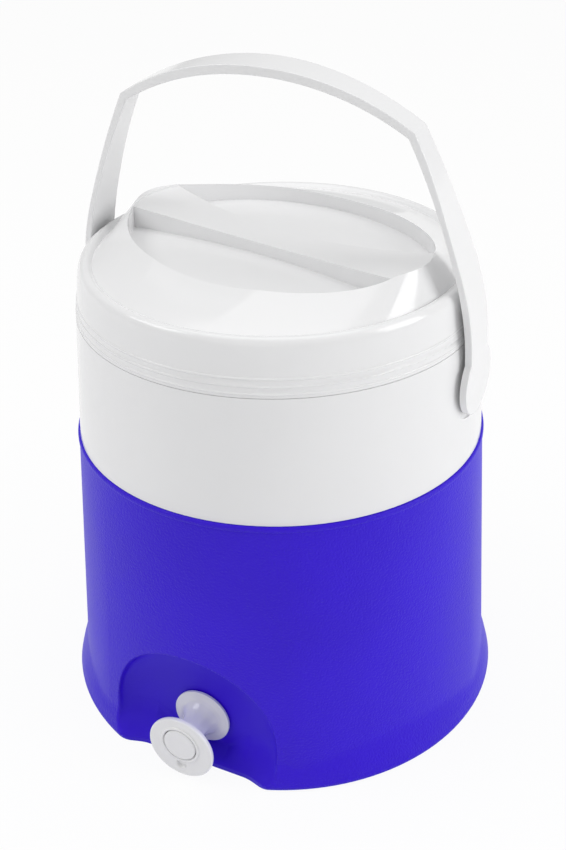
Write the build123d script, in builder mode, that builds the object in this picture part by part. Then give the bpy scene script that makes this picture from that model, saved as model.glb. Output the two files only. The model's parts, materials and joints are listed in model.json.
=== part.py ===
"""Insulated beverage dispenser: a foamed jug with a screw lid, a bail handle and a push-button tap.

Millimetres. The origin is the centre of the base, Z points up, the tap faces -Y and the
bail swings about an axis along X. The lid stands turned by lid_turn, as it was screwed home.
"""

import os
from math import cos, radians, sin, sqrt

from build123d import *

os.makedirs("parts", exist_ok=True)

# Clearances, and how far a cut runs past the face it leaves by
seat_gap = 0.3
running_gap = 0.08
cut_over = 1.0

# Casing: round at the lip, softly six-sided at the foot, with a flared skirt
casing_height = 191.0
casing_top_radius = 129.0
casing_flare = 13.5
casing_corner_radius = casing_top_radius + casing_flare
panel_flat = 2.8
casing_panel_radius = casing_corner_radius - panel_flat
casing_wall = 3.0
panel_count = 6
lip_proud = 1.0
lip_radius = casing_top_radius + lip_proud
lip_height = 3.5
skirt_proud = 2.5
skirt_radius = casing_corner_radius + skirt_proud
skirt_waist_inset = 2.0
skirt_waist_radius = skirt_radius - skirt_waist_inset
skirt_waist_height = 11.0
skirt_top_inset = 7.8
skirt_top_radius = skirt_radius - skirt_top_inset
skirt_height = 29.5
skirt_edge_radius = 3.0

# Base plate, let into the casing from below, with a plug over the foam's filling hole
plate_inset = 14.5
plate_radius = casing_corner_radius - plate_inset
plate_thickness = 3.0
shelf_width = 5.0
shelf_thickness = 3.0
plug_radius = 12.0
plug_offset = 62.0
plug_head_radius = 16.0
plug_head_thickness = 1.5

# Tap niche: a smooth scoop in the front panel with a ramp at its foot
tap_height = 28.5
niche_depth = 26.0
niche_floor = casing_corner_radius - niche_depth
niche_flat_radius = 24.0
niche_wall_radius = 57.0
niche_wall_rise = 9.5
niche_wall_reach = niche_floor + niche_wall_rise
niche_mouth_radius = 63.0
niche_mouth_rise = 33.5
niche_mouth_reach = niche_floor + niche_mouth_rise
ramp_rim = 1.7
ramp_rim_height = 3.6
ramp_gap = 0.6

# Collar: the white ring between casing and lid
collar_inset = 0.5
collar_bottom_radius = casing_top_radius - collar_inset
collar_taper = 4.9
collar_top_radius = collar_bottom_radius - collar_taper
collar_rise = 79.4
collar_height = casing_height + collar_rise
collar_wall = 3.2
spigot_depth = 9.0
neck_inset = 10.1
neck_radius = collar_top_radius - neck_inset
neck_wall = 3.0
neck_height = 13.6

# Liner: the inner tank
tank_inset = 8.5
tank_radius = neck_radius - tank_inset
tank_taper = 5.0
tank_floor_radius = tank_radius - tank_taper
tank_wall = 2.2
tank_floor_height = 9.0
tank_round = 6.0
tank_flange_thickness = 2.2
tap_pad_radius = 17.0
tap_pad_inset = 18.5
tap_pad_reach = niche_floor - tap_pad_inset

# Neck seal between liner and collar
neck_seal_height = 3.0
neck_seal_drop = 6.0

# Lid
lid_turn = -10.5
lid_foot_inset = 0.2
lid_foot_radius = collar_top_radius - lid_foot_inset
lid_wall_taper = 2.6
lid_wall_top_radius = lid_foot_radius - lid_wall_taper
lid_wall_rise = 24.1
lid_wall_top = collar_height + lid_wall_rise
lid_wall = 2.8
lid_shoulder_width = 4.8
lid_shoulder_radius = lid_wall_top_radius - lid_shoulder_width
lid_shoulder_rise = 9.3
lid_shoulder_height = lid_wall_top + lid_shoulder_rise
lid_valley_width = 4.6
lid_valley_radius = lid_shoulder_radius - lid_valley_width
lid_valley_drop = 2.2
lid_valley_height = lid_shoulder_height - lid_valley_drop
rim_end_inset = 8.6
rim_half_length = lid_valley_radius - rim_end_inset
rim_side_inset = 34.7
rim_half_width = lid_valley_radius - rim_side_inset
rim_low_rise = 8.6
rim_low = lid_shoulder_height + rim_low_rise
rim_saddle = 7.2
rim_high = rim_low + rim_saddle
rim_lip = 2.6
bar_drop = 1.4
bar_mid_half_width = 11.5
bar_flare = 12.0
bar_end_half_width = bar_mid_half_width + bar_flare
bar_wall = 2.6
hollow_inset = 13.8
hollow_half_length = rim_half_length - hollow_inset
pocket_depth = 8.6
pocket_floor = rim_low - pocket_depth
lid_roof_drop = 6.2
lid_roof = pocket_floor - lid_roof_drop
rib_count = 3
rib_pitch = 4.4
rib_radius = 0.9
rib_proud = 0.45

# Lid plug, its foam and its gasket
lid_plug_gap = 0.2
lid_plug_radius = tank_radius - tank_wall - lid_plug_gap
lid_plug_wall = 2.4
lid_plug_depth = 23.0
lid_flange_thickness = 2.6
gasket_inset = 0.7
gasket_outer_radius = neck_radius - gasket_inset
gasket_width = 5.3
gasket_inner_radius = gasket_outer_radius - gasket_width
gasket_thickness = 1.6

# Bail handle
pivot_drop = 25.4
pivot_height = collar_height - pivot_drop
bail_lean = 4.0
arm_clearance = 2.6
arm_inner = collar_top_radius + arm_clearance
arm_thickness = 4.4
arm_end_radius = 21.5
arm_half_width = 14.0
arm_straight = 17.0
arm_upper_thickness = 3.7
shoulder_spread = 0.8
shoulder_half_span = arm_inner + shoulder_spread
shoulder_rise = 54.0
elbow_inset = 11.2
elbow_half_span = arm_inner - elbow_inset
elbow_rise = 93.0
corner_inset = 34.2
corner_half_span = arm_inner - corner_inset
corner_rise = 149.0
grip_crown = 27.0
grip_rise = corner_rise + grip_crown
grip_thickness = 6.0
grip_half_width = 13.0
corner_half_width = 8.2
elbow_half_width = 12.4

# Pivot: a pin from inside the collar, a washer and a shallow dish for the arm's end
pin_radius = 5.0
pin_head_radius = 8.0
pin_head_thickness = 2.4
pin_end_skin = 1.4
dish_radius = 25.0
dish_gap = 0.7
washer_radius = 12.0
washer_thickness = 0.5

# Tap body: flange, hourglass neck and an eccentric finger disc
tap_length = 30.5
tap_reach = niche_floor + tap_length
finger_disc_radius = 22.5
finger_disc_drop = 3.2
finger_disc_thickness = 3.2
disc_edge_radius = 1.2
flange_radius = 19.3
flange_thickness = 2.5
tap_waist_radius = 8.6
tap_waist_inset = 15.5
tap_waist_reach = tap_reach - tap_waist_inset
tap_hub_radius = 16.2
button_ring_radius = 14.4
button_ring_width = 2.4
button_ring_proud = 0.9
dimple_drop = 10.6
dimple_radius = 3.0
dimple_depth = 1.4
shank_radius = 9.0
shank_bore_radius = 6.0
shank_length = 29.5
shank_tail = niche_floor - shank_length
spout_radius = 5.6
spout_bore_radius = 4.0
spout_inset = 20.4
spout_reach = tap_reach - spout_inset
spout_drop = 13.5
guide_inset = 14.4
guide_reach = tap_reach - guide_inset
guide_thickness = 2.4

# Tap gaskets and nut
outer_gasket_radius = 18.3
outer_gasket_thickness = 1.0
inner_gasket_radius = 15.0
inner_gasket_thickness = 2.0
nut_radius = 14.0
nut_thickness = 6.0

# Tap button with its stem, spring and valve
button_radius = 11.2
button_thickness = 3.4
button_edge_radius = 1.0
button_proud = 1.0
button_travel = 4.0
stem_radius = 2.5
stem_tip_length = 5.0
spring_radius = 4.2
spring_wire_radius = 0.45
spring_turns = 5
spring_bore_radius = 5.4
valve_radius = 8.4
valve_thickness = 3.0
valve_gap = 0.1
clip_radius = 5.0
clip_thickness = 1.6
stem_seal_thickness = 1.8

# Values that follow from the sizes above
panel_angle = 360 / panel_count
tap_side = -90.0
tap_axis = Axis((0, 0, tap_height), (0, -1, 0))
shelf_radius = plate_radius + seat_gap
shelf_inner = plate_radius - shelf_width
shelf_top = plate_thickness + shelf_thickness
spigot_radius = casing_top_radius - casing_wall - seat_gap
spigot_foot = casing_height - spigot_depth
lip_seat = casing_height + seat_gap
neck_inner = neck_radius - neck_wall
neck_top = collar_height + neck_height
tank_top = neck_top + tank_flange_thickness
lid_foot = collar_height + seat_gap
gasket_top = tank_top + gasket_thickness
flange_top = gasket_top + lid_flange_thickness
lid_plug_floor = gasket_top - lid_plug_depth
arm_outer = arm_inner + arm_thickness
dish_floor = arm_inner - dish_gap
flange_back = niche_floor + outer_gasket_thickness
flange_front = flange_back + flange_thickness
cap_front = tap_reach + button_proud
cap_back = cap_front - button_thickness
cup_floor = cap_back - button_travel - seat_gap
valve_front = shank_tail - valve_gap
clip_front = valve_front - valve_thickness


def polar(radius, angle):
    """Point on a circle about Z, by its angle in degrees."""
    return (radius * cos(radians(angle)), radius * sin(radians(angle)))


def panelled_outline(corner_radius, panel_radius):
    """Closed outline of bowed panels, one of them square to the tap."""
    for number in range(panel_count):
        middle = tap_side + number * panel_angle
        ThreePointArc(
            polar(corner_radius, middle - panel_angle / 2),
            polar(panel_radius, middle),
            polar(corner_radius, middle + panel_angle / 2),
        )


def panelled_cone(inset):
    """The casing's cone, drawn in by inset all round."""
    with BuildPart() as cone:
        with BuildSketch(Plane.XY):
            with BuildLine():
                panelled_outline(casing_corner_radius - inset, casing_panel_radius - inset)
            make_face()
        with BuildSketch(Plane.XY.offset(casing_height)):
            with BuildLine():
                panelled_outline(casing_top_radius - inset, casing_top_radius - inset)
            make_face()
        loft()
    return cone.part


def ring(inner, outer, bottom, top):
    """Plain ring about Z between two heights."""
    with BuildPart() as band:
        with BuildSketch(Plane.XY.offset(bottom)):
            Circle(outer)
            Circle(inner, mode=Mode.SUBTRACT)
        extrude(amount=top - bottom)
    return band.part


def turned(points):
    """Solid of revolution about Z from a closed outline of radius and height."""
    with BuildPart() as solid:
        with BuildSketch(Plane.XZ):
            with BuildLine():
                Polyline(*points, close=True)
            make_face()
        revolve(axis=Axis.Z)
    return solid.part


def tap_disc(radius, back, front, drop=0.0):
    """Round disc on the tap's axis, between two distances out from the jug's axis."""
    with BuildPart() as disc:
        with BuildSketch(Plane.XZ.offset(back)):
            with Locations((0, tap_height - drop)):
                Circle(radius)
        extrude(amount=front - back)
    return disc.part


def pivot_disc(side, radius, start, end):
    """Round disc on the bail's axis, on one side, between two distances out from the middle."""
    with BuildPart() as disc:
        with BuildSketch(Plane.YZ.offset(side * start)):
            with Locations((0, pivot_height)):
                Circle(radius)
        extrude(amount=side * (end - start))
    return disc.part


def niche_half(grow):
    """Half outline of the scoop from above: flat behind the tap, then out past the casing."""
    flat = Line((0, grow - niche_floor), (niche_flat_radius, grow - niche_floor))
    wall_end = (niche_wall_radius + grow, -niche_wall_reach)
    wall = Spline(flat @ 1, wall_end, tangents=((1, 0), (0.3, -1)))
    mouth = Line(wall @ 1, (niche_mouth_radius + grow, -niche_mouth_reach))
    Polyline(mouth @ 1, (0, -niche_mouth_reach), flat @ 0)


def niche_shape(grow):
    """The scoop around the tap, made larger by grow: an arch above the tap, straight below it."""
    with BuildPart() as scoop:
        with BuildSketch(Plane.XY.offset(tap_height)):
            with BuildLine():
                niche_half(grow)
            make_face()
        revolve(axis=tap_axis, revolution_arc=180)
        with BuildSketch(Plane.XY.offset(tap_height)):
            with BuildLine():
                niche_half(grow)
            make_face()
            mirror(about=Plane.YZ)
        extrude(amount=-tap_height - cut_over)
    return scoop.part


def panel_inner_radius(height):
    """Inner radius of the casing at the middle of a panel."""
    taper = (casing_panel_radius - casing_top_radius) / casing_height
    return casing_panel_radius - taper * height - casing_wall


def collar_inner_radius(height):
    """Inner radius of the collar between its spigot and its roof."""
    roof = collar_height - collar_wall
    share = (height - lip_seat) / (roof - lip_seat)
    return spigot_radius + share * (collar_top_radius - spigot_radius) - collar_wall


def lid_radius(height):
    """Outer radius of the lid's wall."""
    share = (height - lid_foot) / (lid_wall_top - lid_foot)
    return lid_foot_radius + share * (lid_wall_top_radius - lid_foot_radius)


# Niche solids shared by the casing and the foam
niche_void = niche_shape(0)
niche_backing = niche_shape(casing_wall)
niche_clearance = niche_shape(casing_wall + seat_gap)

# Casing envelope: the panelled cone, the flared skirt and the proud lip
with BuildPart() as casing_envelope:
    add(panelled_cone(0))
    with BuildSketch(Plane.XZ):
        with BuildLine():
            foot = Line((0, 0), (skirt_radius - skirt_edge_radius, 0))
            edge = TangentArc(foot @ 1, (skirt_radius, skirt_edge_radius), tangent=(1, 0))
            flare = Spline(
                edge @ 1,
                (skirt_waist_radius, skirt_waist_height),
                (skirt_top_radius, skirt_height),
            )
            Polyline(flare @ 1, (0, skirt_height), (0, 0))
        make_face()
    revolve(axis=Axis.Z)
    with BuildSketch(Plane.XY.offset(casing_height - lip_height)):
        Circle(lip_radius)
    extrude(amount=lip_height)

# Wall behind the niche, trimmed to the casing's outside
with BuildPart() as niche_wall:
    add(niche_backing)
    add(casing_envelope.part, mode=Mode.INTERSECT)

# Ramp at the niche's foot, which closes the casing in front of the base plate
with BuildPart() as niche_ramp:
    ramp_foot = shelf_radius + ramp_rim
    ramp_top = tap_height - flange_radius - ramp_gap
    ramp_back = niche_floor - casing_wall
    with BuildSketch(Plane.YZ.offset(-niche_mouth_radius)):
        with BuildLine():
            Polyline(
                (-ramp_foot, 0),
                (-ramp_foot, ramp_rim_height),
                (-niche_floor, ramp_top),
                (-ramp_back, ramp_top),
                (-ramp_back, 0),
                close=True,
            )
        make_face()
    extrude(amount=2 * niche_mouth_radius)
    add(niche_wall.part, mode=Mode.INTERSECT)

# Casing
with BuildPart() as casing:
    shelf_outer = casing_corner_radius - casing_wall / 2
    add(casing_envelope.part)
    add(panelled_cone(casing_wall), mode=Mode.SUBTRACT)
    add(ring(shelf_radius, shelf_outer, 0, plate_thickness))
    add(ring(shelf_inner, shelf_outer, plate_thickness, shelf_top))
    add(niche_wall.part)
    add(niche_void, mode=Mode.SUBTRACT)
    add(niche_ramp.part)
    with BuildSketch(Plane.XY):
        Circle(shelf_radius)
    extrude(amount=plate_thickness, mode=Mode.SUBTRACT)
    add(tap_disc(shank_radius + seat_gap, tank_radius, niche_wall_reach), mode=Mode.SUBTRACT)
casing.part.label = "casing"
export_step(casing.part, "parts/casing.step")

# Base plate
with BuildPart() as base_plate:
    with BuildSketch(Plane.XY):
        Circle(plate_radius)
        with Locations((0, plug_offset)):
            Circle(plug_radius + seat_gap, mode=Mode.SUBTRACT)
    extrude(amount=plate_thickness)
base_plate.part.label = "base_plate"
export_step(base_plate.part, "parts/base_plate.step")

# Filling plug: pushed into the base plate from above, its face level with the base
with BuildPart() as foam_plug:
    with BuildSketch(Plane.XY):
        with Locations((0, plug_offset)):
            Circle(plug_radius)
    extrude(amount=plate_thickness)
    with BuildSketch(Plane.XY.offset(plate_thickness)):
        with Locations((0, plug_offset)):
            Circle(plug_head_radius)
    extrude(amount=plug_head_thickness)
foam_plug.part.label = "foam_plug"
export_step(foam_plug.part, "parts/foam_plug.step")

# Collar: spigot in the casing, cone, roof and neck, with a dish and a pin hole on each side
with BuildPart() as collar:
    add(
        turned(
            [
                (spigot_radius - collar_wall, spigot_foot),
                (spigot_radius, spigot_foot),
                (spigot_radius, lip_seat),
                (collar_bottom_radius, lip_seat),
                (collar_top_radius, collar_height),
                (neck_radius, collar_height),
                (neck_radius, neck_top),
                (neck_inner, neck_top),
                (neck_inner, collar_height - collar_wall),
                (collar_top_radius - collar_wall, collar_height - collar_wall),
                (spigot_radius - collar_wall, lip_seat),
            ]
        )
    )
    for side in (1, -1):
        add(pivot_disc(side, dish_radius, dish_floor, arm_outer), mode=Mode.SUBTRACT)
        add(
            pivot_disc(side, pin_radius + running_gap, neck_radius, arm_outer),
            mode=Mode.SUBTRACT,
        )
collar.part.label = "collar"
export_step(collar.part, "parts/collar.step")

# Liner: a round-bottomed tank with a flange on the collar's neck and a flat pad for the tap
with BuildPart() as liner:
    tank_outer = tank_floor_radius + tank_wall
    pad_back = sqrt(tank_outer**2 - tap_pad_radius**2)
    add(
        turned(
            [
                (0, tank_floor_height),
                (tank_outer, tank_floor_height),
                (tank_radius + tank_wall, neck_top),
                (neck_radius, neck_top),
                (neck_radius, tank_top),
                (tank_radius, tank_top),
                (tank_floor_radius, tank_floor_height + tank_wall),
                (0, tank_floor_height + tank_wall),
            ]
        )
    )
    foot_edges = edges().filter_by(GeomType.CIRCLE).sort_by(Axis.Z)
    fillet(foot_edges[1], tank_round)
    outer_foot = edges().filter_by(GeomType.CIRCLE).sort_by(Axis.Z)
    fillet(outer_foot[0], tank_round + tank_wall)
    add(tap_disc(tap_pad_radius, tap_pad_reach, pad_back))
    add(
        tap_disc(shank_radius + seat_gap, tap_pad_reach - cut_over, tank_outer + cut_over),
        mode=Mode.SUBTRACT,
    )
liner.part.label = "liner"
export_step(liner.part, "parts/liner.step")

# Neck seal: a rubber band between liner and collar neck
with BuildPart() as neck_seal:
    seal_top = neck_top - neck_seal_drop
    add(ring(tank_radius + tank_wall, neck_inner, seal_top - neck_seal_height, seal_top))
neck_seal.part.label = "neck_seal"
export_step(neck_seal.part, "parts/neck_seal.step")

# Pivot pin's head: flat, just inside the collar's cone
head_height = pivot_height + pin_head_radius
head_limit = collar_inner_radius(head_height) - seat_gap
head_face = sqrt(head_limit**2 - pin_head_radius**2)
head_back = head_face - pin_head_thickness

# Body foam: fills the space between casing, collar and liner
with BuildPart() as body_foam:
    foam_floor = plate_thickness + seat_gap
    foam_ledge = shelf_top + seat_gap
    foam_waist = spigot_foot - seat_gap
    foam_top = collar_height - collar_wall - seat_gap
    foam_hole = tank_outer + seat_gap
    add(
        turned(
            [
                (0, foam_floor),
                (shelf_inner - seat_gap, foam_floor),
                (shelf_inner - seat_gap, foam_ledge),
                (panel_inner_radius(foam_ledge) - seat_gap, foam_ledge),
                (panel_inner_radius(foam_waist) - seat_gap, foam_waist),
                (spigot_radius - collar_wall - seat_gap, foam_waist),
                (collar_inner_radius(foam_top) - seat_gap, foam_top),
                (tank_radius + tank_wall + seat_gap, foam_top),
                (foam_hole, tank_floor_height + tank_round),
                (foam_hole, tank_floor_height - seat_gap),
                (0, tank_floor_height - seat_gap),
            ]
        )
    )
    add(niche_clearance, mode=Mode.SUBTRACT)
    add(tap_disc(shank_radius + seat_gap, tank_floor_radius, niche_floor), mode=Mode.SUBTRACT)
    with BuildSketch(Plane.XY.offset(plate_thickness)):
        with Locations((0, plug_offset)):
            Circle(plug_head_radius + seat_gap)
    extrude(amount=plug_head_thickness + seat_gap, mode=Mode.SUBTRACT)
    for side in (1, -1):
        add(
            pivot_disc(side, pin_head_radius + seat_gap, head_back - seat_gap, arm_outer),
            mode=Mode.SUBTRACT,
        )
body_foam.part.label = "body_foam"
export_step(body_foam.part, "parts/body_foam.step")

# Lid's own frame: its X runs along the grip bar
lid_along = Vector(1, 0, 0).rotate(Axis.Z, lid_turn)
lid_plane = Plane(origin=(0, 0, 0), x_dir=lid_along, z_dir=(0, 0, 1))
lid_upright = Plane(origin=(0, 0, 0), x_dir=lid_along, z_dir=lid_plane.y_dir)
rim_rise = rim_high - rim_low
rim_bow = (rim_half_length**2 + rim_rise**2) / (2 * rim_rise)


def above_saddle(drop):
    """Everything above the rim's saddle, which dips across the bar; drop sinks it."""
    with BuildPart() as above:
        with BuildSketch(lid_upright):
            with Locations((0, -(rim_low - drop + rim_bow))):
                Circle(rim_bow)
        extrude(amount=lid_valley_radius, both=True)
    return above.part


def bar_plan(half_length, inset):
    """Outline of the bar seen from above, waisted in the middle and drawn in by inset."""
    spread = (bar_end_half_width - bar_mid_half_width) * (half_length / rim_half_length) ** 2
    mid_half = bar_mid_half_width - inset
    end_half = mid_half + spread
    far = ThreePointArc((-half_length, end_half), (0, mid_half), (half_length, end_half))
    near = ThreePointArc((half_length, -end_half), (0, -mid_half), (-half_length, -end_half))
    Line(far @ 1, near @ 0)
    Line(near @ 1, far @ 0)


# Dome under the rim: round at its foot, oval above, cut to the saddle further down
with BuildPart() as lid_dome:
    dome_slant = (lid_valley_radius - rim_half_width) / (rim_low - lid_valley_height)
    dome_half_width = lid_valley_radius - dome_slant * (rim_high - lid_valley_height)
    with BuildSketch(lid_plane.offset(lid_valley_height)):
        Circle(lid_valley_radius)
    with BuildSketch(lid_plane.offset(rim_high)):
        Ellipse(rim_half_length, dome_half_width)
    loft()

# Finger pockets on both sides of the bar
with BuildPart() as lid_pockets:
    with BuildSketch(lid_plane.offset(pocket_floor)):
        Ellipse(rim_half_length - rim_lip, rim_half_width - rim_lip)
        with BuildLine():
            bar_plan(rim_half_length, 0)
        make_face(mode=Mode.SUBTRACT)
    extrude(amount=rim_high - pocket_floor)

# Step down from the rim to the top of the bar
with BuildPart() as bar_step:
    with BuildSketch(lid_plane.offset(pocket_floor)):
        Ellipse(rim_half_length - rim_lip, rim_half_width - rim_lip)
    extrude(amount=rim_high - pocket_floor)
    add(above_saddle(bar_drop), mode=Mode.INTERSECT)

# Hollow under the bar
with BuildPart() as bar_hollow:
    with BuildSketch(lid_plane.offset(lid_roof)):
        with BuildLine():
            bar_plan(hollow_half_length, bar_wall)
        make_face()
    extrude(amount=rim_low - bar_drop - bar_wall - lid_roof)

# Lid shell: turned wall and shoulder with ribs, the dome, the pockets and the bar
with BuildPart() as lid_shell:
    with BuildSketch(Plane.XZ):
        with BuildLine():
            wall_line = Line((lid_foot_radius, lid_foot), (lid_wall_top_radius, lid_wall_top))
            roll = Spline(
                wall_line @ 1,
                (lid_shoulder_radius, lid_shoulder_height),
                (lid_valley_radius, lid_valley_height),
                tangents=(wall_line % 1, (-0.7, -0.7)),
            )
            Polyline(
                roll @ 1,
                (0, lid_valley_height),
                (0, lid_roof),
                (lid_radius(lid_roof) - lid_wall, lid_roof),
                (lid_foot_radius - lid_wall, lid_foot),
                wall_line @ 0,
            )
        make_face()
    revolve(axis=Axis.Z)
    for number in range(rib_count):
        rib_height = lid_foot + (number + 0.5) * rib_pitch
        with BuildSketch(Plane.XZ):
            with Locations((lid_radius(rib_height) - rib_radius + rib_proud, rib_height)):
                Circle(rib_radius)
        revolve(axis=Axis.Z)
    add(lid_dome.part)
    add(above_saddle(0), mode=Mode.SUBTRACT)
    add(bar_step.part, mode=Mode.SUBTRACT)
    add(lid_pockets.part, mode=Mode.SUBTRACT)
    add(bar_hollow.part, mode=Mode.SUBTRACT)
lid_shell.part.label = "lid_shell"
export_step(lid_shell.part, "parts/lid_shell.step")

# Lid plug: flange under the lid's wall and a closed plug that fills the tank's mouth
with BuildPart() as lid_plug:
    plug_inner = lid_plug_radius - lid_plug_wall
    flange_edge = lid_radius(flange_top) - lid_wall - seat_gap
    add(
        turned(
            [
                (0, lid_plug_floor),
                (lid_plug_radius, lid_plug_floor),
                (lid_plug_radius, gasket_top),
                (flange_edge, gasket_top),
                (flange_edge, flange_top),
                (plug_inner, flange_top),
                (plug_inner, lid_plug_floor + lid_plug_wall),
                (0, lid_plug_floor + lid_plug_wall),
            ]
        )
    )
lid_plug.part.label = "lid_plug"
export_step(lid_plug.part, "parts/lid_plug.step")

# Lid foam: fills the plug and the space under the lid's roof
with BuildPart() as lid_foam:
    lid_foam_top = lid_roof - seat_gap
    add(
        turned(
            [
                (0, lid_plug_floor + lid_plug_wall + seat_gap),
                (plug_inner - seat_gap, lid_plug_floor + lid_plug_wall + seat_gap),
                (plug_inner - seat_gap, flange_top + seat_gap),
                (flange_edge - seat_gap, flange_top + seat_gap),
                (lid_radius(lid_roof) - lid_wall - 2 * seat_gap, lid_foam_top),
                (0, lid_foam_top),
            ]
        )
    )
lid_foam.part.label = "lid_foam"
export_step(lid_foam.part, "parts/lid_foam.step")

# Lid gasket: lies between the tank's flange and the plug's
with BuildPart() as lid_gasket:
    add(ring(gasket_inner_radius, gasket_outer_radius, tank_top, gasket_top))
lid_gasket.part.label = "lid_gasket"
export_step(lid_gasket.part, "parts/lid_gasket.step")

# Bail: an arch seen from the front, cut to its waisted width seen from the side
bail_front = Plane(
    origin=(0, 0, pivot_height),
    x_dir=(1, 0, 0),
    z_dir=Vector(0, -1, 0).rotate(Axis.X, bail_lean),
)
bail_side = Plane(
    origin=(0, 0, pivot_height),
    x_dir=Vector(0, 1, 0).rotate(Axis.X, bail_lean),
    z_dir=(1, 0, 0),
)
bail_foot = -arm_end_radius - cut_over
grip_top = grip_rise + grip_thickness


def bail_leg(side, inset, thin):
    """One arm's face from its foot to its corner, drawn in by inset below and thin above."""
    straight = (side * (arm_outer - inset), arm_straight)
    corner = (side * (corner_half_span - thin), corner_rise - thin)
    Line((side * (arm_outer - inset), bail_foot), straight)
    Spline(
        straight,
        (side * (shoulder_half_span - inset), shoulder_rise),
        (side * (elbow_half_span - thin), elbow_rise),
        corner,
        tangents=((0, 1), (side * -0.45, 0.89)),
    )
    return corner


def arch(inset, thin, crown):
    """One face of the bail from foot to foot, with its crown at a given rise."""
    right_corner = bail_leg(1, inset, thin)
    left_corner = bail_leg(-1, inset, thin)
    ThreePointArc(right_corner, (0, crown), left_corner)


def bail_edge(side):
    """One edge of the bail seen from the side."""
    return Spline(
        (side * arm_half_width, 0),
        (side * arm_half_width, shoulder_rise),
        (side * elbow_half_width, elbow_rise),
        (side * corner_half_width, corner_rise),
        (side * grip_half_width, grip_top),
        tangents=((0, 1), (side * 0.5, 1)),
    )


with BuildPart() as bail_width:
    with BuildSketch(bail_side.offset(-arm_outer - cut_over)):
        with BuildLine():
            rear = bail_edge(1)
            front = bail_edge(-1)
            Line(rear @ 0, front @ 0)
            Line(rear @ 1, front @ 1)
        make_face()
        Circle(arm_end_radius)
    extrude(amount=2 * (arm_outer + cut_over))

with BuildPart() as handle:
    with BuildSketch(bail_front):
        with BuildLine():
            arch(0, 0, grip_rise)
            arch(arm_thickness, arm_upper_thickness, grip_rise - grip_thickness)
            Line((arm_outer, bail_foot), (arm_inner, bail_foot))
            Line((-arm_outer, bail_foot), (-arm_inner, bail_foot))
        make_face()
    extrude(amount=2 * arm_end_radius, both=True)
    add(bail_width.part, mode=Mode.INTERSECT)
    for side in (1, -1):
        add(
            pivot_disc(
                side, pin_radius + running_gap, arm_inner - cut_over, arm_outer - pin_end_skin
            ),
            mode=Mode.SUBTRACT,
        )
handle.part.label = "handle"
export_step(handle.part, "parts/handle.step")

# Pivot pins and washers
for side, name in ((1, "right"), (-1, "left")):
    with BuildPart() as pivot_pin:
        add(pivot_disc(side, pin_head_radius, head_back, head_face))
        add(pivot_disc(side, pin_radius, head_face, arm_outer - pin_end_skin - seat_gap))
    pivot_pin.part.label = f"pivot_pin_{name}"
    export_step(pivot_pin.part, f"parts/pivot_pin_{name}.step")

    with BuildPart() as pivot_washer:
        washer_foot = dish_floor + (dish_gap - washer_thickness) / 2
        washer_top = washer_foot + washer_thickness
        add(pivot_disc(side, washer_radius, washer_foot, washer_top))
        add(
            pivot_disc(side, pin_radius + running_gap, washer_foot, washer_top),
            mode=Mode.SUBTRACT,
        )
    pivot_washer.part.label = f"pivot_washer_{name}"
    export_step(pivot_washer.part, f"parts/pivot_washer_{name}.step")

# Tap body: one moulding of shank, flange, hourglass neck, finger disc and spout
with BuildPart() as tap_body:
    disc_back = tap_reach - finger_disc_thickness
    guide_back = guide_reach - guide_thickness
    ring_front = tap_reach + button_ring_proud
    with BuildSketch(Plane.XY.offset(tap_height)):
        with BuildLine():
            Polyline(
                (0, -shank_tail),
                (shank_radius, -shank_tail),
                (shank_radius, -flange_back),
                (flange_radius, -flange_back),
                (flange_radius, -flange_front),
            )
            rear_flare = Spline(
                (flange_radius, -flange_front),
                (tap_waist_radius, -tap_waist_reach),
                (tap_hub_radius, -disc_back),
                tangents=((-1, -0.15), (0.8, -0.6)),
            )
            Polyline(rear_flare @ 1, (0, -disc_back), (0, -shank_tail))
        make_face()
    revolve(axis=tap_axis)
    add(tap_disc(finger_disc_radius, disc_back, tap_reach, finger_disc_drop))
    disc_rims = edges().filter_by(GeomType.CIRCLE).group_by(SortBy.RADIUS)[-1]
    fillet(disc_rims, disc_edge_radius)
    add(tap_disc(button_ring_radius, disc_back, ring_front))
    with BuildSketch(Plane.XY.offset(tap_height)):
        with Locations((0, -spout_reach)):
            Circle(spout_radius)
    extrude(amount=-spout_drop)
    with BuildSketch(Plane.XY.offset(tap_height)):
        with Locations((0, -spout_reach)):
            Circle(spout_bore_radius)
    extrude(amount=-spout_drop, mode=Mode.SUBTRACT)
    cup_radius = button_ring_radius - button_ring_width
    add(tap_disc(cup_radius, cup_floor, ring_front + cut_over), mode=Mode.SUBTRACT)
    add(tap_disc(spring_bore_radius, guide_reach, cup_floor), mode=Mode.SUBTRACT)
    add(tap_disc(stem_radius + running_gap, guide_back, guide_reach), mode=Mode.SUBTRACT)
    add(tap_disc(shank_bore_radius, shank_tail, guide_back), mode=Mode.SUBTRACT)
    dimple_below_axis = finger_disc_drop + dimple_drop
    add(
        tap_disc(dimple_radius, tap_reach - dimple_depth, ring_front, dimple_below_axis),
        mode=Mode.SUBTRACT,
    )
tap_body.part.label = "tap_body"
export_step(tap_body.part, "parts/tap_body.step")

# Tap gaskets: one in the niche behind the flange, one in the tank under the nut
inner_gasket_back = tap_pad_reach - inner_gasket_thickness
for name, radius, back, front in (
    ("outer", outer_gasket_radius, niche_floor, flange_back),
    ("inner", inner_gasket_radius, inner_gasket_back, tap_pad_reach),
):
    with BuildPart() as tap_gasket:
        add(tap_disc(radius, back, front))
        add(tap_disc(shank_radius + running_gap, back, front), mode=Mode.SUBTRACT)
    tap_gasket.part.label = f"tap_gasket_{name}"
    export_step(tap_gasket.part, f"parts/tap_gasket_{name}.step")

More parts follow.
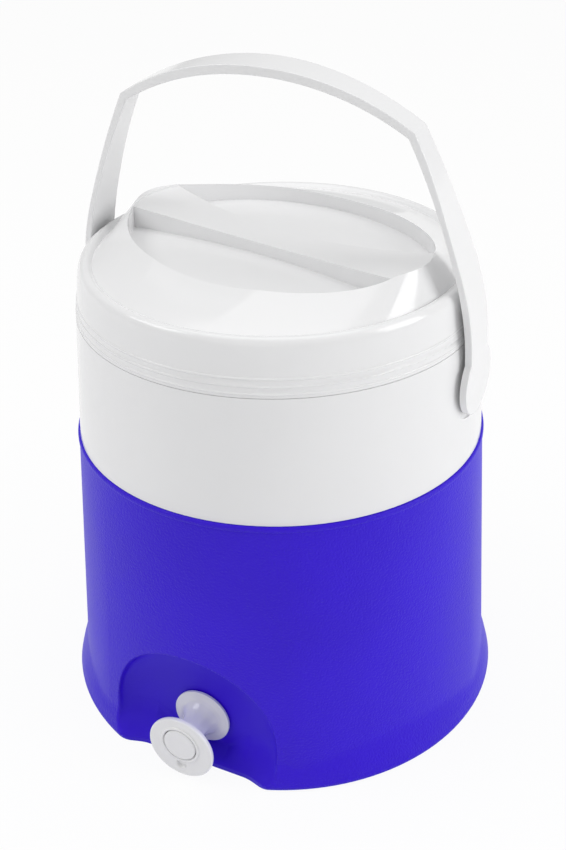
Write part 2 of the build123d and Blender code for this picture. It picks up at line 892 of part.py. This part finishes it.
# Tap nut: screwed on the shank inside the tank
with BuildPart() as tap_nut:
    with BuildSketch(Plane.XZ.offset(inner_gasket_back - nut_thickness)):
        with Locations((0, tap_height)):
            RegularPolygon(nut_radius, 6)
            Circle(shank_radius + running_gap, mode=Mode.SUBTRACT)
    extrude(amount=nut_thickness)
tap_nut.part.label = "tap_nut"
export_step(tap_nut.part, "parts/tap_nut.step")

# Tap button: a round cap with a softened front edge, and its stem
with BuildPart() as tap_button:
    stem_tail = clip_front - clip_thickness - stem_tip_length
    add(tap_disc(button_radius, cap_back, cap_front))
    cap_edge = edges().filter_by(GeomType.CIRCLE).sort_by(Axis.Y)[0]
    fillet(cap_edge, button_edge_radius)
    add(tap_disc(stem_radius, stem_tail, cap_back))
tap_button.part.label = "tap_button"
export_step(tap_button.part, "parts/tap_button.step")

# Return spring around the stem, between the guide and the cap
with BuildPart() as tap_spring:
    spring_back = guide_reach + seat_gap + spring_wire_radius
    spring_front = cap_back - seat_gap - spring_wire_radius
    with BuildLine() as coil:
        Helix(
            pitch=(spring_front - spring_back) / spring_turns,
            height=spring_front - spring_back,
            radius=spring_radius,
            center=(0, -spring_back, tap_height),
            direction=(0, -1, 0),
        )
    with BuildSketch(Plane(origin=coil.line @ 0, z_dir=coil.line % 0)):
        Circle(spring_wire_radius)
    sweep(path=coil.line, is_frenet=True)
tap_spring.part.label = "tap_spring"
export_step(tap_spring.part, "parts/tap_spring.step")

# Stem seal: a ring behind the guide that keeps the drink out of the button's cup
with BuildPart() as stem_seal:
    seal_back = guide_back - stem_seal_thickness
    add(tap_disc(shank_bore_radius - running_gap, seal_back, guide_back))
    add(tap_disc(stem_radius + running_gap, seal_back, guide_back), mode=Mode.SUBTRACT)
stem_seal.part.label = "stem_seal"
export_step(stem_seal.part, "parts/stem_seal.step")

# Valve disc: held against the shank's tail by the spring, inside the tank
with BuildPart() as valve_disc:
    add(tap_disc(valve_radius, clip_front, valve_front))
    add(tap_disc(stem_radius, clip_front, valve_front), mode=Mode.SUBTRACT)
valve_disc.part.label = "valve_disc"
export_step(valve_disc.part, "parts/valve_disc.step")

# Valve clip: the retainer behind the valve disc
with BuildPart() as valve_clip:
    add(tap_disc(clip_radius, clip_front - clip_thickness, clip_front))
    add(tap_disc(stem_radius, clip_front - clip_thickness, clip_front), mode=Mode.SUBTRACT)
valve_clip.part.label = "valve_clip"
export_step(valve_clip.part, "parts/valve_clip.step")
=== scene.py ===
# %% [markdown]
# # Insulated beverage dispenser, dressed for a photograph
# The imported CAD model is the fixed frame. Each cell below makes one piece or one finish
# on top of it, in millimetres, and scales it to metres at the end.

# %% Load the frame
import json
from math import atan2, cos, hypot, pi, radians, sin, sqrt

import bmesh
import bpy
from mathutils import Matrix, Vector


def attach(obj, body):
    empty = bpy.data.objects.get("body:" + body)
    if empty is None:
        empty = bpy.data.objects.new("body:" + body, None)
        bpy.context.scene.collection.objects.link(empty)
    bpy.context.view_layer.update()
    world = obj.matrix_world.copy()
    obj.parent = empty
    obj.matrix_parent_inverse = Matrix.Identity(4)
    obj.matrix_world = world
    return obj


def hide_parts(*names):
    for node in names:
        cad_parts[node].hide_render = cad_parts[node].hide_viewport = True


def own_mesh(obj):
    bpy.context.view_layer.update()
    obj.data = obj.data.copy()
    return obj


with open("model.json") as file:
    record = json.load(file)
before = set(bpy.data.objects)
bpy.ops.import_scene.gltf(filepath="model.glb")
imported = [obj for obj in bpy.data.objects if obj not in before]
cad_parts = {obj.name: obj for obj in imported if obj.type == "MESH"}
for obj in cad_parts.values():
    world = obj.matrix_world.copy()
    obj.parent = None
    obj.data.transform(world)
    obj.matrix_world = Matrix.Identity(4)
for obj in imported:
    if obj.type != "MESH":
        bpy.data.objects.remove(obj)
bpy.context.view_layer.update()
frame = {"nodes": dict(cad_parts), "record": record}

nodes = frame["nodes"]

# %% [markdown]
# ## Finishes
# Every moulded surface has three small things that make it look real: a colour that
# drifts a little, a roughness that drifts with it, and a bump at the scale of the mould's
# texture. One function builds all three from the object's own coordinates.


# %% A moulded finish
def finish_of(name, colour, drift, roughness, rough_drift, grain, grain_height,
              waves=0.0, specular=0.5, grain_attribute=None):
    """A plastic, rubber or foam finish. grain is texture cells per metre, heights are metres."""
    material = bpy.data.materials.new(name)
    material.use_nodes = True
    tree = material.node_tree
    shader = tree.nodes["Principled BSDF"]
    shader.inputs["Specular IOR Level"].default_value = specular
    place = tree.nodes.new("ShaderNodeTexCoord")
    slow = tree.nodes.new("ShaderNodeTexNoise")
    slow.inputs["Scale"].default_value = 14.0
    slow.inputs["Detail"].default_value = 3.0
    tree.links.new(place.outputs["Object"], slow.inputs["Vector"])
    ramp = tree.nodes.new("ShaderNodeValToRGB")
    ramp.color_ramp.elements[0].position = 0.3
    ramp.color_ramp.elements[0].color = [c * (1 - drift) for c in colour] + [1]
    ramp.color_ramp.elements[1].position = 0.7
    ramp.color_ramp.elements[1].color = [min(1, c * (1 + drift)) for c in colour] + [1]
    tree.links.new(slow.outputs["Fac"], ramp.inputs["Fac"])
    tree.links.new(ramp.outputs["Color"], shader.inputs["Base Color"])
    fine = tree.nodes.new("ShaderNodeTexNoise")
    fine.inputs["Scale"].default_value = grain
    fine.inputs["Detail"].default_value = 2.0
    tree.links.new(place.outputs["Object"], fine.inputs["Vector"])
    rough = tree.nodes.new("ShaderNodeMapRange")
    rough.inputs["To Min"].default_value = roughness - rough_drift
    rough.inputs["To Max"].default_value = roughness + rough_drift
    tree.links.new(slow.outputs["Fac"], rough.inputs["Value"])
    tree.links.new(rough.outputs["Result"], shader.inputs["Roughness"])
    bump = tree.nodes.new("ShaderNodeBump")
    bump.inputs["Distance"].default_value = grain_height
    tree.links.new(fine.outputs["Fac"], bump.inputs["Height"])
    if grain_attribute:
        share = tree.nodes.new("ShaderNodeAttribute")
        share.attribute_name = grain_attribute
        tree.links.new(share.outputs["Fac"], bump.inputs["Strength"])
    last = bump
    if waves:
        swell = tree.nodes.new("ShaderNodeBump")
        swell.inputs["Distance"].default_value = waves
        tree.links.new(slow.outputs["Fac"], swell.inputs["Height"])
        tree.links.new(bump.outputs["Normal"], swell.inputs["Normal"])
        last = swell
    tree.links.new(last.outputs["Normal"], shader.inputs["Normal"])
    return material


# %% [markdown]
# ## The object's finishes
# The casing is a satin violet-blue with a fine leather grain. Collar, lid, handle and tap
# are glossy white. Inside are a food-grade tank, foam, pale seals and a steel spring.

# %% Make the finishes
finishes = {
    "casing_blue": finish_of("casing_blue", (0.035, 0.004, 0.66), 0.04, 0.42, 0.04, 750, 0.0005,
                             specular=0.22, grain_attribute="grain"),
    "white_plastic": finish_of("white_plastic", (0.85, 0.85, 0.855), 0.012, 0.13, 0.03, 260, 0.00002,
                               waves=0.0003),
    "liner_white": finish_of("liner_white", (0.74, 0.75, 0.76), 0.02, 0.25, 0.04, 300, 0.00003),
    "base_grey": finish_of("base_grey", (0.03, 0.02, 0.22), 0.06, 0.5, 0.05, 700, 0.0001),
    "foam": finish_of("foam", (0.78, 0.66, 0.36), 0.10, 0.9, 0.04, 1400, 0.0003, specular=0.2),
    "seal_rubber": finish_of("seal_rubber", (0.58, 0.58, 0.56), 0.03, 0.6, 0.05, 1200, 0.00006),
    "spring_steel": finish_of("spring_steel", (0.6, 0.6, 0.6), 0.05, 0.28, 0.05, 2500, 0.00002),
}
steel = finishes["spring_steel"].node_tree.nodes["Principled BSDF"]
steel.inputs["Metallic"].default_value = 1.0
for row in frame["record"]["subparts"]:
    for place in nodes[row["node"]].material_slots:
        place.material = finishes[row["material_slot"]]
print("finishes:", ", ".join(finishes))

# %% [markdown]
# ## Tools for turned shapes
# Most of this jug was turned or moulded around an axis, so a profile drawn in millimetres
# and spun is the natural start. Shapes that aren't quite round are spun first, and their
# points are then moved by a rule. The last step scales to metres and puts faces outwards.

# %% Helpers for making pieces
MM = 0.001
tap_height = 28.5


def smooth_max(a, b, soft):
    """The larger of a and b, with the crossing rounded over a width of soft."""
    near = max(soft - abs(a - b), 0.0) / soft
    return max(a, b) + near * near * soft / 4


def smooth_min(a, b, soft):
    """The smaller of a and b, with the crossing rounded."""
    return -smooth_max(-a, -b, soft)


def draw(form, points):
    """An open wire through (radius, height) points, in the plane y = 0."""
    corners = [form.verts.new((radius, 0, height)) for radius, height in points]
    for first, second in zip(corners, corners[1:]):
        form.edges.new((first, second))
    return corners


def spin_round(form, sectors, geom=None):
    """Spins everything in form, or geom, about Z, sector by sector: (degrees, steps)."""
    geom = geom or form.verts[:] + form.edges[:]
    for angle, steps in sectors:
        turned = bmesh.ops.spin(form, geom=geom, cent=(0, 0, 0), axis=(0, 0, 1),
                                angle=radians(angle), steps=steps, use_merge=False)
        geom = turned["geom_last"]
    bmesh.ops.remove_doubles(form, verts=form.verts[:], dist=0.0005)


def face_outwards(form):
    """Makes all normals agree and point away from the inside."""
    bmesh.ops.recalc_face_normals(form, faces=form.faces[:])
    if form.calc_volume(signed=True) < 0:
        bmesh.ops.reverse_faces(form, faces=form.faces[:])


def make_piece(name, form, body, slot, replaced=(), sharp=None):
    """Turns a form in millimetres into a piece of the object that rides on a CAD body."""
    bmesh.ops.scale(form, vec=(MM, MM, MM), verts=form.verts[:])
    mesh = bpy.data.meshes.new(name)
    form.to_mesh(mesh)
    form.free()
    mesh.shade_smooth()
    if sharp:
        mesh.set_sharp_from_angle(angle=radians(sharp))
    mesh.materials.append(finishes[slot])
    piece = bpy.data.objects.new(name, mesh)
    bpy.context.collection.objects.link(piece)
    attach(piece, body)
    if replaced:
        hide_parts(*replaced)
    print(name, len(mesh.polygons), "faces")


# %% [markdown]
# ## Casing
# The casing is round at its lip and softly six-sided at its foot: six bowed panels meet in
# soft corners that fade towards the top. A skirt flares at the foot and meets the panels in
# a curved line. At the front a smooth scoop makes room for the tap, with a ramp at its foot
# down to the edge of the base. The wall is spun with its columns close together at the
# scoop, and then every point is moved out to the panels and skirt, or back into the scoop.

# %% Casing sizes
casing_height, casing_top, casing_corner, casing_panel = 191.0, 129.0, 142.5, 139.7
lip_radius, lip_inner = 130.0, 125.9
skirt_foot, skirt_waist, skirt_top = (3.0, 145.0), (11.0, 143.0), (29.5, 137.2)
foot_round = 3.0
plate_seat, plate_seat_height, shelf_inner = 128.3, 3.2, 124.0
foot_centre, wall_marker, scoop_top = 141.8, 145.0, 120.0
half_panel = radians(30)
corner_soft = radians(1.6)
chord = 2 * (casing_panel - casing_corner * cos(half_panel))
bow = ((casing_corner * sin(half_panel)) ** 2 + (chord / 2) ** 2) / chord
scoop_back, scoop_flat, scoop_wall, scoop_rise = -116.5, 24.0, 57.0, 9.5
ramp_foot, ramp_foot_height, ramp_top_height = -130.0, 3.6, 8.6


def panel_radius(angle):
    """Radius of the foot's panels at an angle about Z, with softened corners."""
    a = abs((angle + pi / 2 + half_panel) % (2 * half_panel) - half_panel)

    def bowed(turn):
        inner = casing_panel - bow
        return inner * cos(turn) + sqrt(bow ** 2 - (inner * sin(turn)) ** 2)

    slope = (bowed(half_panel) - bowed(half_panel - 0.001)) / 0.001
    over = max(0.0, a - (half_panel - corner_soft))
    return bowed(a) - slope * over * over / (2 * corner_soft)


def wall_radius(angle, height):
    """Outside of the casing above its foot rounding."""
    share = height / casing_height
    panels = panel_radius(angle) * (1 - share) + casing_top * share
    if height < skirt_waist[0]:
        (z0, r0), (z1, r1) = skirt_foot, skirt_waist
    else:
        (z0, r0), (z1, r1) = skirt_waist, skirt_top
    skirt = r0 + (r1 - r0) * (height - z0) / (z1 - z0)
    return smooth_max(panels, skirt, 0.8)


def scoop_depth(x, height):
    """Y of the scoop behind the tap, as a height field over X and Z."""
    if height > tap_height:
        reach = hypot(x, height - tap_height)
    else:
        reach = abs(x)
    s = min(max((reach - scoop_flat) / (scoop_wall - scoop_flat), 0.0), 1.0)
    low = min(max((40.0 - height) / 34.0, 0.0), 1.0)
    back = scoop_back - scoop_rise * (1 - (1 - s ** 2.7) ** 0.57)
    back -= max(0.0, reach - scoop_wall) * (4.0 - 3.0 * low)
    aside = min(max((abs(x) - 18.0) / 16.0, 0.0), 1.0)
    spread = min(max((abs(x) - 34.0) / 34.0, 0.0), 1.0)
    ramp = ramp_foot - 9.0 * spread * spread * (3 - 2 * spread)
    ramp_height = ramp_top_height - ramp_foot_height + 9.0 * aside
    ramp += (scoop_back - ramp_foot) * max((height - ramp_foot_height) / ramp_height, 0.0)
    return smooth_min(back, ramp, 4.0 + 6.0 * aside)


# %% Casing wall
form = bmesh.new()
fine_rows = [z * 0.8 for z in range(4, 125)]
coarse_rows = [100 + 4 * n for n in range(22)]
start = radians(-119)
outline = [(shelf_inner, plate_seat_height), (plate_seat, plate_seat_height), (plate_seat, 0.35),
           (plate_seat + 0.35, 0.0)]
outline += [(r, 0.0) for r in (130.0, 132.0, 134.0, 136.0, 138.0, 140.0, 141.5)]
for n in range(1, 7):
    turn = radians(15 * n)
    outline.append((foot_centre + foot_round * sin(turn), foot_round * (1 - cos(turn))))
outline += [(wall_marker, z) for z in fine_rows + coarse_rows + [186.4, 187.2]]
outline += [(lip_radius - 0.25, 187.5), (lip_radius, 187.9), (lip_radius, 189.2),
            (lip_radius - 0.2, 190.2), (lip_radius - 0.8, 190.85), (lip_radius - 1.5, casing_height),
            (lip_inner, casing_height), (lip_inner, 186.0)]
draw(form, outline)
bmesh.ops.rotate(form, cent=(0, 0, 0), matrix=Matrix.Rotation(start, 3, "Z"), verts=form.verts[:])
spin_round(form, [(58, 232), (302, 121)])
grain = form.verts.layers.float.new("grain")
for point in form.verts:
    x, y, z = point.co
    radius = hypot(x, y)
    direction = Vector((x, y, 0)) / radius
    angle = atan2(y, x)
    if radius > wall_marker - 0.01:
        radius = wall_radius(angle, z)
    elif z < foot_round and radius > plate_seat + 1:
        foot_width = wall_radius(angle, foot_round) - plate_seat
        radius = plate_seat + (radius - plate_seat) * foot_width / (foot_centre + foot_round - plate_seat)
    spot = direction * radius
    depth = scoop_depth(spot.x, z)
    in_scoop = 0.0
    if spot.y < 0 and radius > plate_seat + 0.5 and z < scoop_top:
        limit = smooth_max(spot.y, depth, 2.5)
        in_scoop = min(1.0, max(0.0, (limit - spot.y) / 2.0))
        spot.y = limit
    point.co = (spot.x, spot.y, z)
    point[grain] = 1.0 - 0.85 * in_scoop
bmesh.ops.dissolve_degenerate(form, dist=0.0005, edges=form.edges[:])
face_outwards(form)
make_piece("casing_shell", form, "jug", "casing_blue", ["casing"], sharp=60)

# %% [markdown]
# ## Tap body
# The tap is one white moulding turned about its own axis: a flange against the casing, a
# waisted neck with faint flutes and a finger disc that sits a little low. The disc's face
# has a raised ring round the button and a small round hollow under it. It is spun with its
# axis upright, moved ring by ring to make the disc eccentric, and then laid over.

# %% Tap body
flange_back, flange_edge, flange_radius, neck_foot_radius = 117.5, 118.9, 19.3, 13.4
waist_reach, waist_radius, hub_radius, disc_back = 131.5, 8.6, 15.8, 143.8
disc_front, disc_radius, disc_drop, disc_round = 147.0, 22.5, 3.2, 1.2
ring_outer, ring_inner, ring_front, cup_floor = 13.7, 12.0, 147.9, 140.3
cup_radius, spring_bore, stem_bore, guide_front, guide_back = 11.5, 5.4, 2.7, 132.9, 130.2
shank_radius, shank_bore, shank_tail = 9.0, 6.0, 87.0
hollow_drop, hollow_radius, hollow_depth = 13.3, 3.5, 1.9
still_radius, spout_reach = 15.0, 126.6
form = bmesh.new()
outline = [(shank_bore, shank_tail), (shank_radius, shank_tail), (shank_radius, flange_back),
           (flange_radius, flange_back),
           (flange_radius, flange_edge), (neck_foot_radius + 2.5, 119.9)]
for n in range(13):
    t = n / 12
    outline.append((waist_radius + (neck_foot_radius - waist_radius) * (1 - t) ** 2.2, 120.4 + 11.1 * t))
for n in range(1, 13):
    t = n / 12
    outline.append((waist_radius + (hub_radius - waist_radius) * t ** 2.6,
                    waist_reach + (disc_back - waist_reach) * t))
outline += [(disc_radius - 0.5, disc_back + 0.1), (disc_radius, disc_back + 0.8),
            (disc_radius, disc_front - 0.9)]
for degrees_round in (30, 50, 70, 90):
    turn = radians(degrees_round)
    outline.append((disc_radius - disc_round * (1 - cos(turn)), disc_front - disc_round * (1 - sin(turn))))
outline += [(disc_radius - disc_round - 0.35 * n, disc_front) for n in range(1, 21)]
outline += [(ring_outer + 0.25, disc_front), (ring_outer, disc_front + 0.2),
            (ring_outer - 0.1, ring_front - 0.3), (ring_outer - 0.45, ring_front),
            (ring_inner + 0.45, ring_front), (ring_inner, ring_front - 0.25),
            (ring_inner - 0.2, disc_front - 0.4), (cup_radius, disc_front - 0.6),
            (cup_radius, cup_floor), (spring_bore, cup_floor), (spring_bore, guide_front),
            (stem_bore, guide_front), (stem_bore, guide_back), (shank_bore, guide_back),
            (shank_bore, shank_tail)]
draw(form, outline)
spin_round(form, [(360, 288)])
for point in form.verts:
    x, y, t = point.co
    radius, angle = hypot(x, y), atan2(y, x)
    if 120.0 < t < disc_back and radius > 7.0:
        share = sin(pi * (t - 120.0) / (disc_back - 120.0)) ** 2
        scale = 1 + 0.022 * share * cos(8 * angle)
        x, y = x * scale, y * scale
    drop = disc_drop * min(max((radius - still_radius) / (disc_radius - still_radius), 0.0), 1.0)
    if t < 139.0:
        drop = 0.0
    y -= drop
    if t > disc_front - 0.01:
        away = hypot(x, y + disc_drop + hollow_drop)
        deep = min(max((hollow_radius - away) / 0.6, 0.0), 1.0)
        t -= hollow_depth * deep * deep * (3 - 2 * deep)
    point.co = (x, y, t)
bmesh.ops.rotate(form, cent=(0, 0, 0), matrix=Matrix.Rotation(radians(90), 3, "X"), verts=form.verts[:])
bmesh.ops.translate(form, vec=(0, 0, tap_height), verts=form.verts[:])
seat = draw(form, [(4.0, 15.0), (5.2, 15.0), (5.6, 15.4), (5.6, 27.0), (4.0, 27.0), (4.0, 15.0)])
spin_round(form, [(360, 48)], seat + [edge for edge in form.edges if edge.verts[0] in seat])
spout = [point for point in form.verts if hypot(point.co.x, point.co.y) < 5.7 and point.co.z < 27.1]
bmesh.ops.translate(form, vec=(0, -spout_reach, 0), verts=spout)
face_outwards(form)
make_piece("tap_moulding", form, "jug", "white_plastic", ["tap_body"], sharp=50)

# %% [markdown]
# ## Softened mouldings
# The handle and the lid leave their moulds with every edge slightly rounded, and that is
# what catches the light. Their CAD shapes are right, so each is copied, its points are
# merged, its flat faces are joined again, and a small three-step bevel rounds the edges.


# %% Handle and lid with rounded edges
def soften(name, node, body, slot, width, angle):
    """A copy of a CAD node with its edges rounded by width millimetres."""
    mesh = nodes[node].data.copy()
    mesh.name = name
    form = bmesh.new()
    form.from_mesh(mesh)
    bmesh.ops.remove_doubles(form, verts=form.verts[:], dist=0.00001)
    bmesh.ops.dissolve_limit(form, angle_limit=radians(0.6), verts=form.verts[:], edges=form.edges[:])
    face_outwards(form)
    form.to_mesh(mesh)
    form.free()
    if "custom_normal" in mesh.attributes:
        mesh.attributes.remove(mesh.attributes["custom_normal"])
    mesh.shade_smooth()
    mesh.materials.clear()
    mesh.materials.append(finishes[slot])
    piece = bpy.data.objects.new(name, mesh)
    bpy.context.collection.objects.link(piece)
    edge = piece.modifiers.new("edge", "BEVEL")
    edge.width = width * MM
    edge.segments = 3
    edge.limit_method = "ANGLE"
    edge.angle_limit = radians(angle)
    edge.harden_normals = True
    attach(piece, body)
    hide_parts(node)
    print(name, len(mesh.polygons), "faces before rounding")


soften("handle_moulding", "handle", "bail", "white_plastic", 0.9, 32)
soften("lid_moulding", "lid_shell", "lid", "white_plastic", 0.5, 35)

# %% [markdown]
# ## Tap spring
# The return spring sits in the tap's neck behind the button and closes up by the button's
# travel when it is pressed. Its coil is copied from the CAD node as a mesh of its own.

# %% Spring copied from the CAD node
coil = nodes["tap_spring"].data.copy()
form = bmesh.new()
form.from_mesh(coil)
bmesh.ops.remove_doubles(form, verts=form.verts[:], dist=0.000001)
face_outwards(form)
form.to_mesh(coil)
form.free()
spring = bpy.data.objects.new("tap_coil", coil)
bpy.context.collection.objects.link(spring)
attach(spring, "jug")
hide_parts("tap_spring")
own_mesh(spring)

# %% [markdown]
# ## Floor
# A white floor that still takes a soft shadow. It glows where the camera or a reflection
# sees it, so that the object stands on plain white.

# %% Floor
floor_mesh = bpy.data.meshes.new("floor")
form = bmesh.new()
bmesh.ops.create_grid(form, x_segments=1, y_segments=1, size=20.0)
form.to_mesh(floor_mesh)
form.free()
floor = bpy.data.objects.new("floor", floor_mesh)
bpy.context.collection.objects.link(floor)
floor.location.z = -0.0002

white = bpy.data.materials.new("floor_white")
white.use_nodes = True
tree = white.node_tree
cloth = tree.nodes["Principled BSDF"]
cloth.inputs["Base Color"].default_value = (0.92, 0.92, 0.92, 1)
cloth.inputs["Roughness"].default_value = 0.9
glow = tree.nodes.new("ShaderNodeEmission")
path = tree.nodes.new("ShaderNodeLightPath")
seen = tree.nodes.new("ShaderNodeMath")
seen.operation = "ADD"
seen_all = tree.nodes.new("ShaderNodeMath")
seen_all.operation = "ADD"
seen_all.use_clamp = True
part = tree.nodes.new("ShaderNodeMath")
part.operation = "MULTIPLY"
part.inputs[1].default_value = 0.93
blend = tree.nodes.new("ShaderNodeMixShader")
tree.links.new(path.outputs["Is Camera Ray"], seen.inputs[0])
tree.links.new(path.outputs["Is Glossy Ray"], seen.inputs[1])
tree.links.new(seen.outputs[0], seen_all.inputs[0])
tree.links.new(path.outputs["Is Transmission Ray"], seen_all.inputs[1])
tree.links.new(seen_all.outputs[0], part.inputs[0])
tree.links.new(part.outputs[0], blend.inputs["Fac"])
tree.links.new(cloth.outputs["BSDF"], blend.inputs[1])
tree.links.new(glow.outputs["Emission"], blend.inputs[2])
tree.links.new(blend.outputs["Shader"], tree.nodes["Material Output"].inputs["Surface"])
floor.data.materials.append(white)

# %% [markdown]
# ## Sky and lamps
# The sky lights everything evenly and is white where the camera sees it. The window on the
# right is the stronger one, so the side panels come out a little lighter than the front.

# %% Sky and lamps
world = bpy.data.worlds.new("studio")
bpy.context.scene.world = world
world.use_nodes = True
tree = world.node_tree
sky = tree.nodes["Background"]
sky.inputs["Color"].default_value = (1, 1, 1, 1)
path = tree.nodes.new("ShaderNodeLightPath")
level = tree.nodes.new("ShaderNodeMapRange")
level.inputs["To Min"].default_value = 0.50
level.inputs["To Max"].default_value = 1.0
tree.links.new(path.outputs["Is Camera Ray"], level.inputs["Value"])
tree.links.new(level.outputs["Result"], sky.inputs["Strength"])


def window(name, place, target, width, height, watts):
    """A soft rectangular lamp at place that faces target."""
    light = bpy.data.lights.new(name, "AREA")
    light.shape = "RECTANGLE"
    light.size, light.size_y = width, height
    light.energy = watts
    lamp = bpy.data.objects.new(name, light)
    lamp.location = place
    lamp.rotation_euler = (Vector(target) - Vector(place)).to_track_quat("-Z", "Y").to_euler()
    bpy.context.collection.objects.link(lamp)


window("window_left", (-1.3, -0.9, 1.7), (0, 0, 0.2), 1.1, 0.9, 12)
window("window_right", (1.8, 0.2, 1.0), (0, 0, 0.2), 0.9, 1.2, 15)
window("window_front", (0.3, -2.2, 0.9), (0, 0, 0.15), 1.4, 0.6, 2)
window("window_top", (-0.2, 0.3, 2.1), (0, 0, 0.2), 1.6, 1.6, 9)

# %% [markdown]
# ## Camera
# The camera looks down on the jug from the right of the tap, as in the photograph, with the
# focal length given in pixels of the picture's height.

# %% Camera
photo_height, focal_px = 850, 1300.0
sensor = 36.0
roll = radians(-1.0)
forward = Vector((-0.3876, 0.7668, -0.5117))
right = Vector((0.8925, 0.4512, 0.0))
up = Vector((-0.2309, 0.4567, 0.8593))
right_rolled = cos(roll) * right + sin(roll) * up
up_rolled = -sin(roll) * right + cos(roll) * up
lens = bpy.data.cameras.new("camera")
lens.sensor_width = sensor
lens.lens = focal_px * sensor / photo_height
camera = bpy.data.objects.new("camera", lens)
camera.matrix_world = Matrix((
    (right_rolled.x, up_rolled.x, -forward.x, 0.3287),
    (right_rolled.y, up_rolled.y, -forward.y, -0.6472),
    (right_rolled.z, up_rolled.z, -forward.z, 0.6133),
    (0, 0, 0, 1)))
bpy.context.collection.objects.link(camera)
scene = bpy.context.scene
scene.camera = camera
scene.view_settings.view_transform = "Standard"
print("camera", round(lens.lens, 2), "mm")
